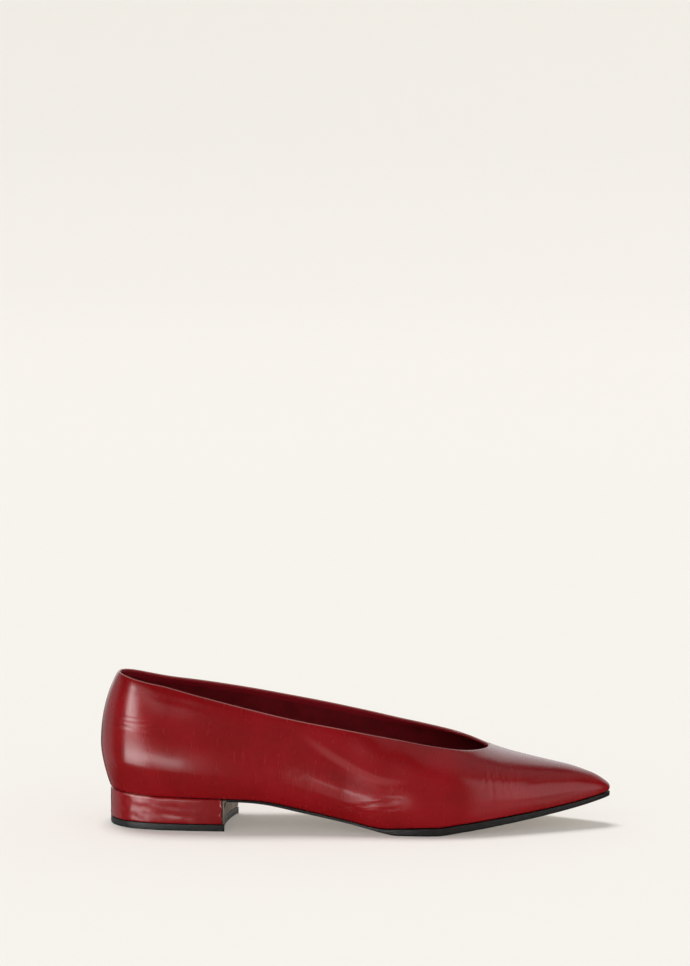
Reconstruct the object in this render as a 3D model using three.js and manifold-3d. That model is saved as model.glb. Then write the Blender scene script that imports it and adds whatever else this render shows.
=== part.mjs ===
// Pointed ballet flat with a low covered block heel: the right shoe of a pair, empty, standing on its sole.
// Millimetres. +X to the toe, +Y to the inner side of the foot, +Z up from the floor.
// Every piece is a stack of loops round the shoe, and all loops come from one last: its feather line
// (the edge where the upper turns under), its widest line, its crown and the topline that is cut in it.
import * as THREE from 'three';
import { mergeVertices } from 'three/addons/utils/BufferGeometryUtils.js';
import Module from 'manifold-3d';

const wasm = await Module();
wasm.setup();

// Sizes of the whole shoe
const shoeLength = 260; // heel bulge to the tip of the sole
const ballWidth = 74; // feather line, outside joint to inside joint
const seatHeight = 17.1; // floor to the underside of the sole at the back of the heel
const toeSpring = 14.7; // floor to the underside of the sole at the tip
const collarHeight = 78; // floor to the topline at the back
const throatHeight = 39.8; // floor to the point of the throat
const noseHeight = 26.8; // floor to the top of the toe, one toe radius from the tip
const throatPlace = 0.758; // the throat's point, as a share of the feather line's length

// Sizes of the last's form
const heelSwell = 4.8; // the back of the heel past its feather line
const bellyHeight = 22; // feather line up to the widest line, at the back
const heelRadius = 24; // the walls fan round this far ahead of the heel's back
const toeRadius = 10; // and this far behind the toe's tip

// Sizes of the pieces
const wall = 1.6; // upper leather with its lining
const lastingMargin = 9; // how far the upper is turned in under the insole
const insoleThickness = 2.4;
const soleEdge = 3.9; // sole at the ball, its thickest
const soleLedge = 0.3; // sole past the feather line at the toe
const waistInset = 0.9; // sole inside the feather line at the waist
const soleBevel = 0.7;
const heelLength = 58.7; // back of the heel block to the outer corner of its breast
const breastTurn = 4.4; // how much further forward the inner corner is
const breastHollow = 2.4; // depth of the breast's curve
const flapThickness = 1; // the sole's end that is turned down the breast
const topLift = 3.4;
const liftBevel = 0.5;
const heelRim = 0.9; // rounding of the heel block's top edge
const gap = 0.3; // between two pieces that touch

// How finely the faces are cut
const quarterSteps = 36; // stations from the heel to the throat
const vampSteps = 18; // stations from the throat to the toe
const lowRows = 4; // feather line to widest line
const highRows = 9; // widest line to topline or crown

// The feather line: half-widths either side of the straight line from heel to toe, as shares of ballWidth.
const FEATHER = [
  { at: 0, outer: 0, inner: 0 },
  { at: 0.012, outer: 0.162, inner: 0.157 },
  { at: 0.05, outer: 0.29, inner: 0.27 },
  { at: 0.12, outer: 0.358, inner: 0.304 },
  { at: 0.23, outer: 0.385, inner: 0.282 },
  { at: 0.35, outer: 0.372, inner: 0.234 },
  { at: 0.47, outer: 0.419, inner: 0.284 },
  { at: 0.55, outer: 0.479, inner: 0.392 },
  { at: 0.63, outer: 0.508, inner: 0.473 },
  { at: 0.7, outer: 0.48, inner: 0.493 },
  { at: 0.77, outer: 0.41, inner: 0.439 },
  { at: 0.84, outer: 0.311, inner: 0.338 },
  { at: 0.91, outer: 0.203, inner: 0.22 },
  { at: 0.965, outer: 0.108, inner: 0.119 },
  { at: 1, outer: 0, inner: 0 },
];

// The underside of the sole: rise is a share of seatHeight, spring of toeSpring and edge of soleEdge.
// ledge 1 puts its outline soleLedge past the feather line, and 0 puts it waistInset inside.
const PROFILE = [
  { at: 0, rise: 1, spring: 0, edge: 0.31, ledge: 0 },
  { at: 0.075, rise: 0.935, spring: 0, edge: 0.31, ledge: 0 },
  { at: 0.232, rise: 0.875, spring: 0, edge: 0.31, ledge: 0 },
  { at: 0.275, rise: 0.852, spring: 0, edge: 0.31, ledge: 0 },
  { at: 0.307, rise: 0.806, spring: 0, edge: 0.35, ledge: 0 },
  { at: 0.385, rise: 0.568, spring: 0, edge: 0.4, ledge: 0 },
  { at: 0.457, rise: 0.36, spring: 0, edge: 0.36, ledge: 0 },
  { at: 0.516, rise: 0.178, spring: 0, edge: 0.33, ledge: 0.3 },
  { at: 0.55, rise: 0.062, spring: 0, edge: 0.52, ledge: 0.7 },
  { at: 0.578, rise: 0, spring: 0, edge: 0.82, ledge: 1 },
  { at: 0.655, rise: 0, spring: 0, edge: 1, ledge: 1 },
  { at: 0.703, rise: 0, spring: 0.1, edge: 0.97, ledge: 1 },
  { at: 0.781, rise: 0, spring: 0.285, edge: 0.9, ledge: 1 },
  { at: 0.86, rise: 0, spring: 0.49, edge: 0.78, ledge: 1 },
  { at: 0.942, rise: 0, spring: 0.755, edge: 0.66, ledge: 1 },
  { at: 1, rise: 0, spring: 1, edge: 0.58, ledge: 1 },
];

// The side walls: how far each swells past the feather line, as shares of heelSwell, how high its widest
// line is, as a share of bellyHeight, and how square the section is, from 2, an ellipse.
const WALLS = [
  { at: 0, outer: 1, inner: 1, belly: 1, square: 2 },
  { at: 0.05, outer: 0.99, inner: 1, belly: 0.76, square: 2 },
  { at: 0.18, outer: 0.96, inner: 1.05, belly: 0.62, square: 2.05 },
  { at: 0.37, outer: 1.04, inner: 1.9, belly: 0.57, square: 2.1 },
  { at: 0.49, outer: 0.75, inner: 1.25, belly: 0.47, square: 2.15 },
  { at: 0.59, outer: 0.46, inner: 0.65, belly: 0.45, square: 2.25 },
  { at: 0.67, outer: 0.38, inner: 0.45, belly: 0.42, square: 2.3 },
  { at: 0.76, outer: 0.31, inner: 0.33, belly: 0.37, square: 2.35 },
  { at: 0.84, outer: 0.26, inner: 0.26, belly: 0.28, square: 2.25 },
  { at: 0.92, outer: 0.2, inner: 0.2, belly: 0.2, square: 2.1 },
  { at: 1, outer: 0.06, inner: 0.06, belly: 0.1, square: 2 },
];

// The crown of the last: 1 is collarHeight, 0 throatHeight and -1 noseHeight. Behind the throat it is only
// the line that the walls lean in to. side is how far it lies to the inner side, as a share of ballWidth.
const CROWN = [
  { at: 0, height: 1.345, side: -0.02 },
  { at: 0.06, height: 1.2, side: -0.02 },
  { at: 0.11, height: 1.085, side: -0.02 },
  { at: 0.18, height: 1.02, side: -0.02 },
  { at: 0.37, height: 0.87, side: 0 },
  { at: 0.49, height: 0.71, side: 0.027 },
  { at: 0.59, height: 0.43, side: 0.047 },
  { at: 0.67, height: 0.245, side: 0.054 },
  { at: 0.722, height: 0.093, side: 0.054 },
  { at: 0.758, height: 0, side: 0.051 },
  { at: 0.8, height: -0.256, side: 0.045 },
  { at: 0.84, height: -0.434, side: 0.038 },
  { at: 0.88, height: -0.591, side: 0.03 },
  { at: 0.92, height: -0.753, side: 0.02 },
  { at: 0.94, height: -0.863, side: 0.014 },
  { at: 0.961, height: -1, side: 0.007 },
];

// The topline from the back, 1, down to the point of the throat, 0; at runs from the back to the throat.
const TOPLINE = [
  { at: 0, outer: 1, inner: 1 },
  { at: 0.08, outer: 0.915, inner: 0.915 },
  { at: 0.146, outer: 0.856, inner: 0.864 },
  { at: 0.234, outer: 0.754, inner: 0.815 },
  { at: 0.363, outer: 0.6, inner: 0.713 },
  { at: 0.493, outer: 0.449, inner: 0.589 },
  { at: 0.617, outer: 0.335, inner: 0.461 },
  { at: 0.741, outer: 0.22, inner: 0.308 },
  { at: 0.865, outer: 0.097, inner: 0.166 },
  { at: 0.953, outer: 0.021, inner: 0.071 },
  { at: 1, outer: 0, inner: 0 },
];

// A smooth curve through one column of a table. It never overshoots its rows, so equal rows give a flat.
function through(rows, column, bend = (at) => at) {
  const x = rows.map((row) => bend(row.at));
  const y = rows.map(column);
  const slope = x.slice(1).map((next, i) => (y[i + 1] - y[i]) / (next - x[i]));
  const tangent = y.map((_, i) => {
    const before = slope[Math.max(i - 1, 0)];
    const after = slope[Math.min(i, slope.length - 1)];
    return before * after <= 0 ? 0 : (2 * before * after) / (before + after);
  });
  return (at) => {
    const t = THREE.MathUtils.clamp(bend(at), x[0], x[x.length - 1]);
    const i = Math.max(0, x.findIndex((edge, k) => k > 0 && t <= edge) - 1);
    const step = x[i + 1] - x[i];
    const u = (t - x[i]) / step;
    return (
      y[i] * (1 + 2 * u) * (1 - u) ** 2 +
      y[i + 1] * u * u * (3 - 2 * u) +
      step * (tangent[i] * u * (1 - u) ** 2 - tangent[i + 1] * u * u * (1 - u))
    );
  };
}

// With places measured as an angle, a width that starts from nothing gives a round end.
const roundEnds = (at) => Math.acos(THREE.MathUtils.clamp(1 - 2 * at, -1, 1));

const heelBack = heelSwell; // the feather line starts under the bulge
const featherTip = shoeLength - soleLedge;
const featherLength = featherTip - heelBack;
const xOf = (at) => heelBack + at * featherLength;
const atOf = (x) => (x - heelBack) / featherLength;

const crownHeight = ({ height }) =>
  throatHeight + height * (height > 0 ? collarHeight - throatHeight : throatHeight - noseHeight);
const sides = ['outer', 'inner'];
const bySide = (rows, size, bend) => sides.map((side) => through(rows, (row) => row[side] * size, bend));
const halfWidth = bySide(FEATHER, ballWidth, roundEnds);
const swell = bySide(WALLS, heelSwell);
const toplineHeight = bySide(TOPLINE, collarHeight - throatHeight).map((drop) => (at) =>
  throatHeight + drop(at / throatPlace));
const belly = through(WALLS, (row) => row.belly * bellyHeight);
const square = through(WALLS, (row) => row.square);
const crown = through(CROWN, crownHeight);
const crownSide = through(CROWN, (row) => row.side * ballWidth);
const underside = through(PROFILE, (row) => row.rise * seatHeight + row.spring * toeSpring);
const edge = through(PROFILE, (row) => row.edge * soleEdge);

const soleBottom = (x) => underside(atOf(x));
const soleTop = (x) => soleBottom(x) + edge(atOf(x));
const featherHeight = (x) => soleTop(x) + gap;

// How steeply the crown falls at a place. The toe's cap keeps falling as steeply in front of the crown's end.
const fallStep = 0.012;
const fallOf = (at) => (crown(at - fallStep) - crown(at)) / (fallStep * featherLength);

// A column of the wall. turn is its angle round the shoe: 0 at the back of the heel, negative along the
// outer side, positive along the inner side, and plus or minus pi at the tip of the toe.
function columnAt(turn) {
  const at = (1 - Math.cos(turn)) / 2;
  const side = Math.sin(turn) > 0 ? 1 : 0;
  const x = xOf(at);
  const foot = new THREE.Vector2(x, (side ? 1 : -1) * halfWidth[side](at));
  const heelFan = Math.max(0, 1 - (x - heelBack) / (2 * heelRadius));
  const toeFan = Math.max(0, 1 - (featherTip - x) / (2 * toeRadius));
  const spineX = x + heelRadius * heelFan ** 2 - toeRadius * toeFan ** 2;
  const crownAt = Math.min(at, atOf(spineX));
  const spine = new THREE.Vector2(spineX, crownSide(crownAt));
  const out = foot.clone().sub(spine);
  const radius = out.length();
  out.divideScalar(radius);
  const low = featherHeight(x);
  const middle = low + belly(at);
  const fall = out.x > 0 ? fallOf(crownAt) * out.x : 0;
  return { at, side, foot, spine, out, radius, low, middle, top: crown(crownAt), fall };
}

// The last's surface: climb is 0 at the feather line, 1 at the widest line and 2 at the crown. Below the
// widest line the wall curves in by a power of its depth, and above it the section is a superellipse.
const undercut = 1.6;
const reachOf = (c, lean) =>
  (c.radius + swell[c.side](c.at)) * Math.max(0, Math.cos(lean)) ** (2 / square(c.at));
function onLast(turn, climb) {
  const c = columnAt(turn);
  const bulge = swell[c.side](c.at);
  let reach;
  let z;
  if (climb <= 1) {
    reach = c.radius + bulge * (1 - (1 - climb) ** undercut);
    z = THREE.MathUtils.lerp(c.low, c.middle, climb);
  } else {
    const lean = ((climb - 1) * Math.PI) / 2;
    reach = reachOf(c, lean);
    z = c.middle + (c.top - c.fall * reach - c.middle) * Math.sin(lean) ** (2 / square(c.at));
  }
  return new THREE.Vector3(c.spine.x + c.out.x * reach, c.spine.y + c.out.y * reach, z);
}

// The climb at which a column is at height z, and at which it is this far above its feather line
function climbTo(turn, z) {
  const c = columnAt(turn);
  if (z <= c.middle) return (z - c.low) / (c.middle - c.low);
  let lean = 0;
  for (let pass = 0; pass < 8; pass++) {
    const share = (z - c.middle) / (c.top - c.fall * reachOf(c, lean) - c.middle);
    lean = Math.asin(Math.min(1, share) ** (square(c.at) / 2));
  }
  return 1 + (lean * 2) / Math.PI;
}
const climbAbove = (turn, height) => climbTo(turn, columnAt(turn).low + height);

// How far the wall climbs: to the topline behind the throat, and to the crown in front of it.
function climbToTopline(turn) {
  const { at, side } = columnAt(turn);
  return at >= throatPlace ? 2 : climbTo(turn, toplineHeight[side](at));
}

// The same surface moved in by depth: along its normal, or at a level, as it is below the widest line.
function insideLast(turn, climb, depth, level = climb <= 1) {
  const point = onLast(turn, climb);
  if (climb >= 2) return point.setZ(point.z - depth * crownSlant(point.x));
  const small = 1e-3;
  const along = onLast(turn + small, climb).sub(onLast(turn - small, climb));
  const up = onLast(turn, Math.min(2, climb + small)).sub(onLast(turn, Math.max(0, climb - small)));
  const normal = up.cross(along).normalize();
  if (!level) return point.addScaledVector(normal, -depth);
  const flat = normal.clone().setZ(0);
  return point.addScaledVector(flat, -depth / flat.lengthSq());
}

// The crown is shared by both sides, so there the offset is straight down, longer where the crown slopes.
function crownSlant(x) {
  const slope = (crown(atOf(x + 1)) - crown(atOf(x - 1))) / 2;
  return Math.hypot(1, slope);
}

// A point under the foot, moved out from the feather line, or in with a negative sign
function underFoot(turn, out, height) {
  const c = columnAt(turn);
  const plan = c.foot.clone().addScaledVector(c.out, out);
  return new THREE.Vector3(plan.x, plan.y, height(plan.x));
}

// The margin is trimmed shorter at the toe, where it would meet itself.
const marginAt = (turn) => Math.min(lastingMargin, 0.55 * columnAt(turn).radius);

// Stations are close together at the back, at the throat's point and at the tip, where the lines turn.
const ease = (steps, law) => Array.from({ length: steps }, (_, i) => law((i + 1) / steps));
const quarterStations = ease(quarterSteps, (t) => (throatPlace * (1 - Math.cos(Math.PI * t))) / 2);
const vampStations = ease(vampSteps, (t) => throatPlace + (1 - throatPlace) * Math.sin((Math.PI / 2) * t));
function loopTurns(stations) {
  const turns = stations.map(roundEnds);
  return [...turns.map((turn) => -turn).reverse(), 0, ...turns];
}
const wholeLoop = loopTurns([...quarterStations, ...vampStations]);

// A band of quads between each loop and the next, and the lid that closes a loop from side to side
function band(loops, keep = () => true) {
  return loops.slice(1).flatMap((high, k) =>
    high.flatMap((point, j) => {
      const next = (j + 1) % high.length;
      return keep(j, k) ? [[loops[k][j], point, high[next], loops[k][next]]] : [];
    }),
  );
}
function lid(loop, facesUp) {
  const last = loop.length - 1;
  return Array.from({ length: last / 2 }, (_, j) => {
    const quad = [loop[j], loop[j + 1], loop[last - j - 1], loop[last - j]];
    return facesUp ? quad.reverse() : quad;
  });
}

// A closed solid of quads; corners that fall together are merged and flat-on faces dropped.
function solidOf(quads) {
  const corners = quads.flatMap(([a, b, c, d]) => [a, b, c, a, c, d]);
  const geometry = mergeVertices(new THREE.BufferGeometry().setFromPoints(corners), 1e-3);
  const index = [...geometry.index.array];
  const kept = index.filter((_, i) => {
    const face = index.slice(i - (i % 3), i - (i % 3) + 3);
    return new Set(face).size === 3;
  });
  const vertProperties = geometry.attributes.position.array;
  return new wasm.Manifold(new wasm.Mesh({ numProp: 3, vertProperties, triVerts: new Uint32Array(kept) }));
}
const stack = (loops) => solidOf([...lid(loops[0], false), ...band(loops), ...lid(loops.at(-1), true)]);

function solidFrom(geometry) {
  const bare = geometry.index ? geometry.toNonIndexed() : geometry;
  const points = new THREE.BufferGeometry().setAttribute('position', bare.getAttribute('position'));
  const merged = mergeVertices(points, 1e-3);
  const vertProperties = merged.attributes.position.array;
  const triVerts = new Uint32Array(merged.index.array);
  return new wasm.Manifold(new wasm.Mesh({ numProp: 3, vertProperties, triVerts }));
}

// Upper: up the outside, over the rim, down the inside, and round the margin that is turned in
function makeUpper() {
  const rows = Array.from({ length: lowRows + highRows + 1 }, (_, k) => k);
  const climbs = (turn, start) => (k) =>
    k <= lowRows
      ? THREE.MathUtils.lerp(start, 1, k / lowRows)
      : THREE.MathUtils.lerp(1, climbToTopline(turn), (k - lowRows) / highRows);
  const outside = rows.map((k) => wholeLoop.map((turn) => onLast(turn, climbs(turn, 0)(k))));
  const inside = rows.map((k) =>
    wholeLoop.map((turn) => {
      const start = climbAbove(turn, wall);
      const point = insideLast(turn, climbs(turn, start)(k), wall);
      return k ? point : point.setZ(featherHeight(point.x) + wall);
    }),
  );
  const marginTop = wholeLoop.map((turn) => underFoot(turn, -marginAt(turn), (x) => featherHeight(x) + wall));
  const marginBottom = wholeLoop.map((turn) => underFoot(turn, -marginAt(turn), featherHeight));
  const loops = [...outside, ...inside.reverse(), marginTop, marginBottom, outside[0]];
  const rimRow = outside.length - 1;
  const inVamp = (j) => Math.min(j, wholeLoop.length - 2 - j) < vampSteps || j === wholeLoop.length - 1;
  return solidOf(band(loops, (j, k) => k !== rimRow || !inVamp(j)));
}

// Insole: a plate inside the walls, with a step that fills the opening between the turned-in margins
function makeInsole() {
  const onMargin = (lift) => (turn) => {
    const height = wall + gap + lift;
    const point = insideLast(turn, climbAbove(turn, height), wall + gap, true);
    return point.setZ(featherHeight(point.x) + height);
  };
  const step = (height) => (turn) =>
    underFoot(turn, -marginAt(turn) - gap, (x) => featherHeight(x) + height);
  const loops = [step(0), step(wall + gap), onMargin(0), onMargin(insoleThickness)];
  return stack(loops.map((place) => wholeLoop.map(place)));
}

// The breast of the heel is an arc in plan, from its outer corner to its inner corner, hollow to the back.
// This prism holds all that lies further forward than the arc by more than ahead.
const breastCorner = heelBack + heelLength;
const breastSides = halfWidth.map((half, side) => (side ? 1 : -1) * half(atOf(breastCorner)));
function beyondBreast(ahead) {
  const [outerY, innerY] = breastSides;
  const overhang = 20;
  const points = Array.from({ length: 37 }, (_, i) => {
    const y = THREE.MathUtils.lerp(outerY - overhang, innerY + overhang, i / 36);
    const across = (y - outerY) / (innerY - outerY);
    const hollow = 4 * breastHollow * across * (1 - across);
    return new THREE.Vector2(breastCorner + breastTurn * across - hollow + ahead, y);
  });
  const front = shoeLength + 10;
  const far = [innerY + overhang, outerY - overhang].map((y) => new THREE.Vector2(front, y));
  const shape = new THREE.Shape([...points, ...far]);
  return solidFrom(new THREE.ExtrudeGeometry(shape, { depth: collarHeight, bevelEnabled: false }).translate(0, 0, -1));
}

// A slice of the block under the heel seat: loops of the feather line's back end at the given heights
const seatEnd = atOf(breastCorner + 14);
const seatLoop = loopTurns(ease(24, (t) => seatEnd * (1 - Math.cos((Math.PI / 2) * t))));
const seatSlice = (levels) =>
  stack(levels.map(([out, height]) => seatLoop.map((turn) => underFoot(turn, out, height))));
const level = (z) => () => z;

function makeHeel() {
  const block = seatSlice([
    [0, level(topLift + gap)],
    [0, (x) => soleTop(x) - heelRim],
    [-heelRim, soleTop],
  ]);
  return block.subtract(beyondBreast(0));
}

function makeTopLift() {
  const slice = seatSlice([
    [-liftBevel, level(0)],
    [0, level(liftBevel)],
    [0, level(topLift)],
  ]);
  return slice.subtract(beyondBreast(gap + flapThickness));
}

// Sole: thin and narrow at the waist, thick at the ball, with its back end turned down the heel's breast
function makeOutsole() {
  const ledge = through(PROFILE, (row) => THREE.MathUtils.lerp(-waistInset, soleLedge, row.ledge));
  const at = (turn) => columnAt(turn).at;
  const edgeOf = (x) => edge(atOf(x));
  const bevel = (x) => Math.min(soleBevel, edgeOf(x) / 3);
  const levels = [
    (turn) => underFoot(turn, ledge(at(turn)) - bevel(xOf(at(turn))), soleBottom),
    (turn) => underFoot(turn, ledge(at(turn)), (x) => soleBottom(x) + bevel(x)),
    (turn) => underFoot(turn, ledge(at(turn)), soleTop),
  ];
  const sole = stack(levels.map((place) => wholeLoop.map(place)));
  const flap = seatSlice([
    [-waistInset, level(topLift + gap)],
    [-waistInset, soleTop],
  ])
    .intersect(beyondBreast(gap))
    .subtract(beyondBreast(gap + flapThickness));
  return sole.intersect(beyondBreast(gap)).add(flap);
}

// Meshes
const red = new THREE.MeshStandardMaterial({ color: 0x8c1218, roughness: 0.35, metalness: 0 });
const finishes = {
  upper: red,
  heel: red,
  insole: new THREE.MeshStandardMaterial({ color: 0x4a0c10, roughness: 0.6, metalness: 0 }),
  outsole: new THREE.MeshStandardMaterial({ color: 0x1d1b1a, roughness: 0.5, metalness: 0 }),
  top_lift: new THREE.MeshStandardMaterial({ color: 0x171716, roughness: 0.6, metalness: 0 }),
};
function meshOf(name, solid) {
  const { numProp, vertProperties, triVerts } = solid.getMesh();
  const positions = Array.from(triVerts, (v) => [...vertProperties.slice(v * numProp, v * numProp + 3)]).flat();
  const geometry = new THREE.BufferGeometry();
  geometry.setAttribute('position', new THREE.Float32BufferAttribute(positions, 3));
  geometry.computeVertexNormals();
  const mesh = new THREE.Mesh(geometry, finishes[name]);
  mesh.name = name;
  return mesh;
}

const shoe = new THREE.Group();
shoe.add(meshOf('upper', makeUpper()));
shoe.add(meshOf('insole', makeInsole()));
shoe.add(meshOf('outsole', makeOutsole()));
shoe.add(meshOf('heel', makeHeel()));
shoe.add(meshOf('top_lift', makeTopLift()));

// The origin is on the floor, under the middle of the shoe.
const box = new THREE.Box3().setFromObject(shoe);
const middle = box.getCenter(new THREE.Vector3());
shoe.position.set(-middle.x, -middle.y, 0);

export default shoe;
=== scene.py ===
import math

import bmesh
import bpy
import numpy as np
from mathutils import Matrix, Vector


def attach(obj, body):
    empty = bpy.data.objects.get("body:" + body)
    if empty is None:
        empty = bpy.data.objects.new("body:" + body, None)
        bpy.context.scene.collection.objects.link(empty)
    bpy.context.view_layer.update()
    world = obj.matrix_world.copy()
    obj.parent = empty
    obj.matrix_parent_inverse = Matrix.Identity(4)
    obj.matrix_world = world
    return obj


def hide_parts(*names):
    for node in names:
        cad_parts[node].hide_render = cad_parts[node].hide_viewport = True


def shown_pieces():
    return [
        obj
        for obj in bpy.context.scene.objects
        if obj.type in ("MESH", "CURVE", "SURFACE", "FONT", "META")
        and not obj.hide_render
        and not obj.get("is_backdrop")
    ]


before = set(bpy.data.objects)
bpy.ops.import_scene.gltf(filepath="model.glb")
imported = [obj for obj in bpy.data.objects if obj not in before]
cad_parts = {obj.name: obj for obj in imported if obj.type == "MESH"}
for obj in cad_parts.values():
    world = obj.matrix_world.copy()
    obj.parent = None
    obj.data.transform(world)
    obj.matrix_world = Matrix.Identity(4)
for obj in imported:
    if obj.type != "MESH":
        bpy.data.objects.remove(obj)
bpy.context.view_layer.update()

MM = 0.001
MIDDLE = np.array([130.0, -0.57, 0.0])  # the frame's origin, in the lengths used below

# The shoe's sizes in millimetres, as in the solids
SHOE_LENGTH, BALL_WIDTH = 260.0, 74.0
SEAT_HEIGHT, TOE_SPRING = 17.1, 14.7
COLLAR_HEIGHT, THROAT_HEIGHT, NOSE_HEIGHT = 78.0, 39.8, 26.8
THROAT_PLACE = 0.758  # the throat's point, as a share of the feather line's length
HEEL_SWELL, BELLY_HEIGHT = 4.8, 22.0
HEEL_RADIUS, TOE_RADIUS = 24.0, 10.0
WALL, MARGIN = 1.6, 9.0
SOLE_EDGE, SOLE_LEDGE, WAIST_INSET, SOLE_BEVEL = 3.9, 0.3, 0.9, 0.7
INSOLE = 2.4
HEEL_LENGTH, BREAST_TURN, BREAST_HOLLOW = 58.7, 4.4, 2.4
FLAP, LIFT, GAP = 1.0, 3.4, 0.3
UNDERCUT = 1.6  # the power by which the wall curves in below its widest line

# Sizes that only the surfaces have, in millimetres
LEATHER, LINING_GAP = 0.95, 0.03  # the calf itself, and the seam of air behind it; the lining is the rest
CALF_TUCK, LINING_TUCK = 0.9, 0.01  # how far each rounds in at the feather line
LINING_DROP = 0.5  # the lining's edge lies this far inside the calf's folded edge
SOLE_BURNISH, FLAP_BEND = 0.35, 1.0
HEEL_FOOT_ROUND, HEEL_SEAT_ROUND = 0.4, 0.9
LIFT_FOOT_ROUND, LIFT_TOP_ROUND = 0.5, 0.25


def table(columns, rows):
    """Named columns of a table, as a dictionary of arrays."""
    return dict(zip(columns.split(), np.array(rows, float).T))


FEATHER = table("at outer inner", [
    (0, 0, 0), (0.012, 0.162, 0.157), (0.05, 0.29, 0.27), (0.12, 0.358, 0.304), (0.23, 0.385, 0.282),
    (0.35, 0.372, 0.234), (0.47, 0.419, 0.284), (0.55, 0.479, 0.392), (0.63, 0.508, 0.473),
    (0.7, 0.48, 0.493), (0.77, 0.41, 0.439), (0.84, 0.311, 0.338), (0.91, 0.203, 0.22),
    (0.965, 0.108, 0.119), (1, 0, 0)])
PROFILE = table("at rise spring edge ledge", [
    (0, 1, 0, 0.31, 0), (0.075, 0.935, 0, 0.31, 0), (0.232, 0.875, 0, 0.31, 0), (0.275, 0.852, 0, 0.31, 0),
    (0.307, 0.806, 0, 0.35, 0), (0.385, 0.568, 0, 0.4, 0), (0.457, 0.36, 0, 0.36, 0),
    (0.516, 0.178, 0, 0.33, 0.3), (0.55, 0.062, 0, 0.52, 0.7), (0.578, 0, 0, 0.82, 1),
    (0.655, 0, 0, 1, 1), (0.703, 0, 0.1, 0.97, 1), (0.781, 0, 0.285, 0.9, 1), (0.86, 0, 0.49, 0.78, 1),
    (0.942, 0, 0.755, 0.66, 1), (1, 0, 1, 0.58, 1)])
WALLS = table("at outer inner belly square", [
    (0, 1, 1, 1, 2), (0.05, 0.99, 1, 0.76, 2), (0.18, 0.96, 1.05, 0.62, 2.05), (0.37, 1.04, 1.9, 0.57, 2.1),
    (0.49, 0.75, 1.25, 0.47, 2.15), (0.59, 0.46, 0.65, 0.45, 2.25), (0.67, 0.38, 0.45, 0.42, 2.3),
    (0.76, 0.31, 0.33, 0.37, 2.35),
    (0.84, 0.26, 0.26, 0.28, 2.25), (0.92, 0.2, 0.2, 0.2, 2.1), (1, 0.06, 0.06, 0.1, 2)])
CROWN = table("at height side", [
    (0, 1.345, -0.02), (0.06, 1.2, -0.02), (0.11, 1.085, -0.02), (0.18, 1.02, -0.02), (0.37, 0.87, 0),
    (0.49, 0.71, 0.027), (0.59, 0.43, 0.047), (0.67, 0.245, 0.054), (0.722, 0.093, 0.054),
    (0.758, 0, 0.051), (0.8, -0.256, 0.045), (0.84, -0.434, 0.038), (0.88, -0.591, 0.03),
    (0.92, -0.753, 0.02), (0.94, -0.863, 0.014), (0.961, -1, 0.007)])
TOPLINE = table("at outer inner", [
    (0, 1, 1), (0.08, 0.915, 0.915), (0.146, 0.856, 0.864), (0.234, 0.754, 0.815), (0.363, 0.6, 0.713),
    (0.493, 0.449, 0.589), (0.617, 0.335, 0.461), (0.741, 0.22, 0.308), (0.865, 0.097, 0.166),
    (0.953, 0.021, 0.071), (1, 0, 0)])


def through(places, values, bend=lambda at: at):
    """A smooth curve through a table's column: cubic pieces whose slope at each row is the harmonic mean of
    the slopes on its two sides, so it never overshoots."""
    x, y = bend(places), values
    slope = np.diff(y) / np.diff(x)
    before, after = np.r_[slope[0], slope], np.r_[slope, slope[-1]]
    same_way = before * after > 0
    tangent = np.where(same_way, 2 * before * after / np.where(same_way, before + after, 1), 0)

    def curve(at):
        t = np.clip(bend(at), x[0], x[-1])
        i = np.clip(np.searchsorted(x, t) - 1, 0, len(x) - 2)
        step = x[i + 1] - x[i]
        u = (t - x[i]) / step
        return (y[i] * (1 + 2 * u) * (1 - u) ** 2 + y[i + 1] * u * u * (3 - 2 * u)
                + step * (tangent[i] * u * (1 - u) ** 2 - tangent[i + 1] * u * u * (1 - u)))

    return curve


def round_ends(at):
    """Places along the shoe as an angle, so a width that starts from nothing gives a round end."""
    return np.arccos(np.clip(1 - 2 * np.asarray(at, float), -1, 1))


HEEL_BACK = HEEL_SWELL
FEATHER_TIP = SHOE_LENGTH - SOLE_LEDGE
FEATHER_LENGTH = FEATHER_TIP - HEEL_BACK
COLLAR_DROP, NOSE_DROP = COLLAR_HEIGHT - THROAT_HEIGHT, THROAT_HEIGHT - NOSE_HEIGHT
SIDES = ("outer", "inner")
half_width = {side: through(FEATHER["at"], FEATHER[side] * BALL_WIDTH, round_ends) for side in SIDES}
swell = {side: through(WALLS["at"], WALLS[side] * HEEL_SWELL) for side in SIDES}
topline_drop = {side: through(TOPLINE["at"], TOPLINE[side] * COLLAR_DROP) for side in SIDES}
belly = through(WALLS["at"], WALLS["belly"] * BELLY_HEIGHT)
square = through(WALLS["at"], WALLS["square"])
crown_step = np.where(CROWN["height"] > 0, COLLAR_DROP, NOSE_DROP)
crown = through(CROWN["at"], THROAT_HEIGHT + CROWN["height"] * crown_step)
crown_side = through(CROWN["at"], CROWN["side"] * BALL_WIDTH)
underside = through(PROFILE["at"], PROFILE["rise"] * SEAT_HEIGHT + PROFILE["spring"] * TOE_SPRING)
edge_height = through(PROFILE["at"], PROFILE["edge"] * SOLE_EDGE)
ledge = through(PROFILE["at"], -WAIST_INSET + PROFILE["ledge"] * (SOLE_LEDGE + WAIST_INSET))


def place_at(x):
    """How far along the feather line a length is, from 0 at the back to 1 at the tip."""
    return (x - HEEL_BACK) / FEATHER_LENGTH


def sole_bottom(x):
    """The height of the sole's underside at a length."""
    return underside(place_at(x))


def sole_top(x):
    """The height of the sole's upper side: its underside's plus its thickness."""
    return sole_bottom(x) + edge_height(place_at(x))


def feather_height(x):
    """The height of the feather line, a gap above the sole."""
    return sole_top(x) + GAP


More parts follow.
